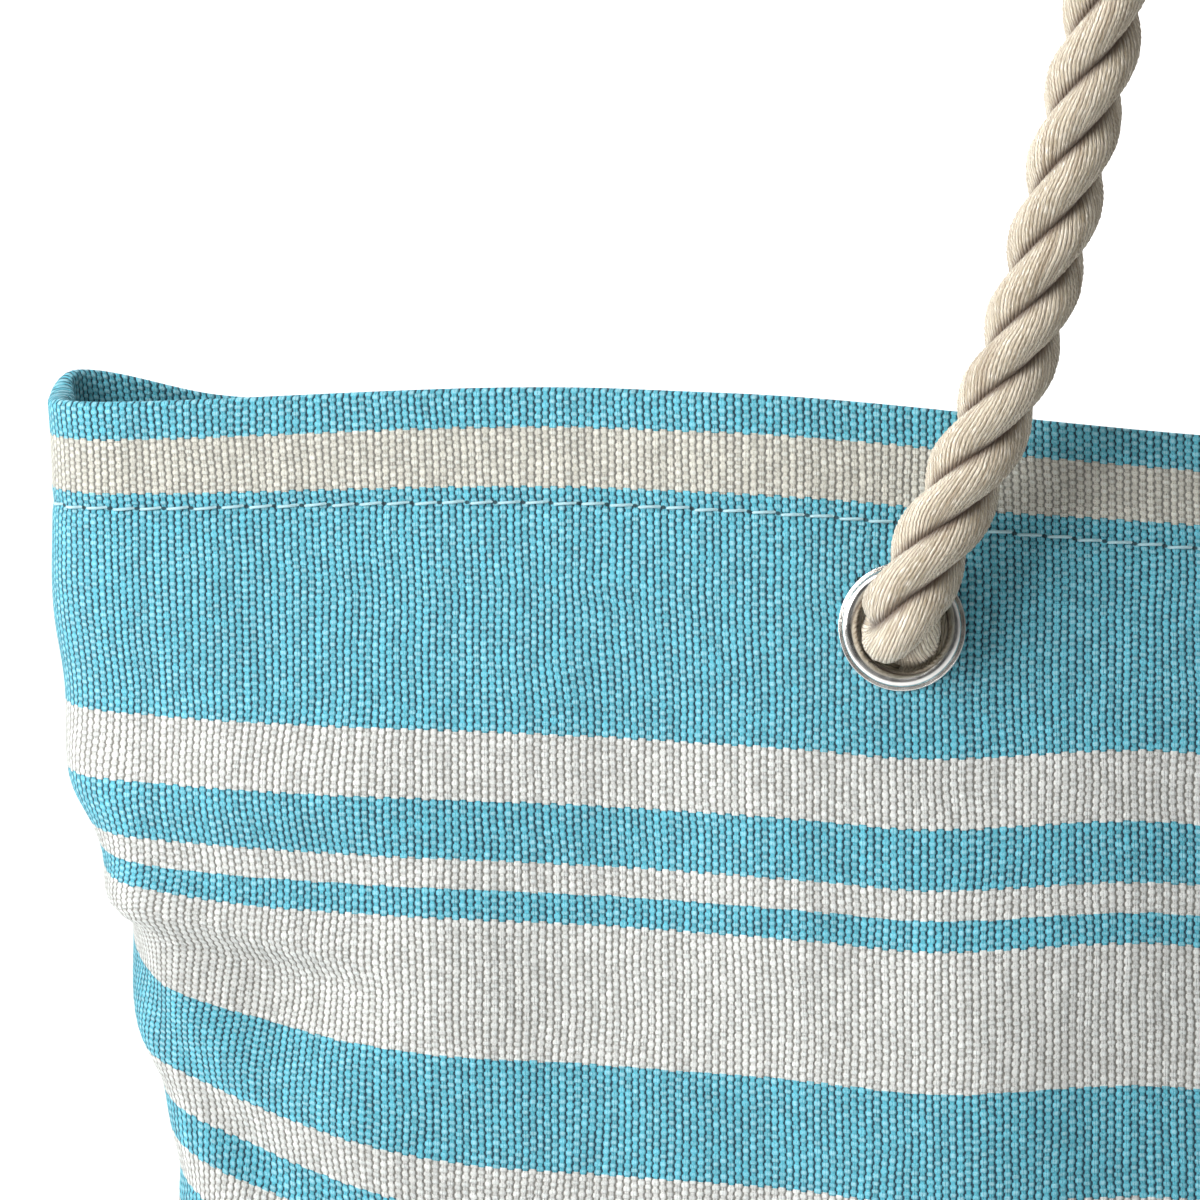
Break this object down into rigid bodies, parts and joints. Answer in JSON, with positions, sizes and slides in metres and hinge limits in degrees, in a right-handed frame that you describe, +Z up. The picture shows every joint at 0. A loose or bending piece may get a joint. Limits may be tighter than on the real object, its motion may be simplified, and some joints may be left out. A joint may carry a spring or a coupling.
{
  "type": "beach bag",
  "caption": "Canvas beach tote in blue and white stripes, with a boxed base, metal eyelets and thick twisted rope handles held by stopper knots.",
  "frame": {"origin": "middle of the base's underside, where the bag rests", "axes": "+Z up, the front with the standing handle faces -Y, +X to the right as seen from the front"},
  "size_m": [0.5602, 0.2327, 0.5974],
  "materials": {
    "striped_canvas": "coarse plain-weave canvas printed with blue and white stripes, matte",
    "lining": "thin plain-weave lining, matte",
    "eyelet_metal": "polished nickel plate",
    "cotton_rope": "three-strand twisted cotton, natural, slightly fuzzy",
    "stitching_thread": "twisted sewing thread"
  },
  "bodies": {
    "root": {"front_panel": "striped_canvas", "back_panel": "striped_canvas", "base_panel": "striped_canvas", "front_lining": "lining", "back_lining": "lining", "base_lining": "lining", "front_left_eyelet": "eyelet_metal", "front_right_eyelet": "eyelet_metal", "back_left_eyelet": "eyelet_metal", "back_right_eyelet": "eyelet_metal", "front_left_washer": "eyelet_metal", "front_right_washer": "eyelet_metal", "back_left_washer": "eyelet_metal", "back_right_washer": "eyelet_metal", "front_left_rope_end": "cotton_rope", "front_right_rope_end": "cotton_rope", "back_left_rope_end": "cotton_rope", "back_right_rope_end": "cotton_rope"},
    "front_handle": {"front_handle": "cotton_rope"},
    "back_handle": {"back_handle": "cotton_rope"}
  },
  "joints": [
    {"name": "front_handle_swing", "type": "hinge", "parent": "root", "child": "front_handle", "pos_m": [0, -0.09021, 0.34236], "axis": [1, 0, 0], "range_deg": [-8, 165]},
    {"name": "back_handle_swing", "type": "hinge", "parent": "root", "child": "back_handle", "pos_m": [0, 0.07378, 0.32386], "axis": [1, 0, 0], "range_deg": [0, 178]}
  ]
}
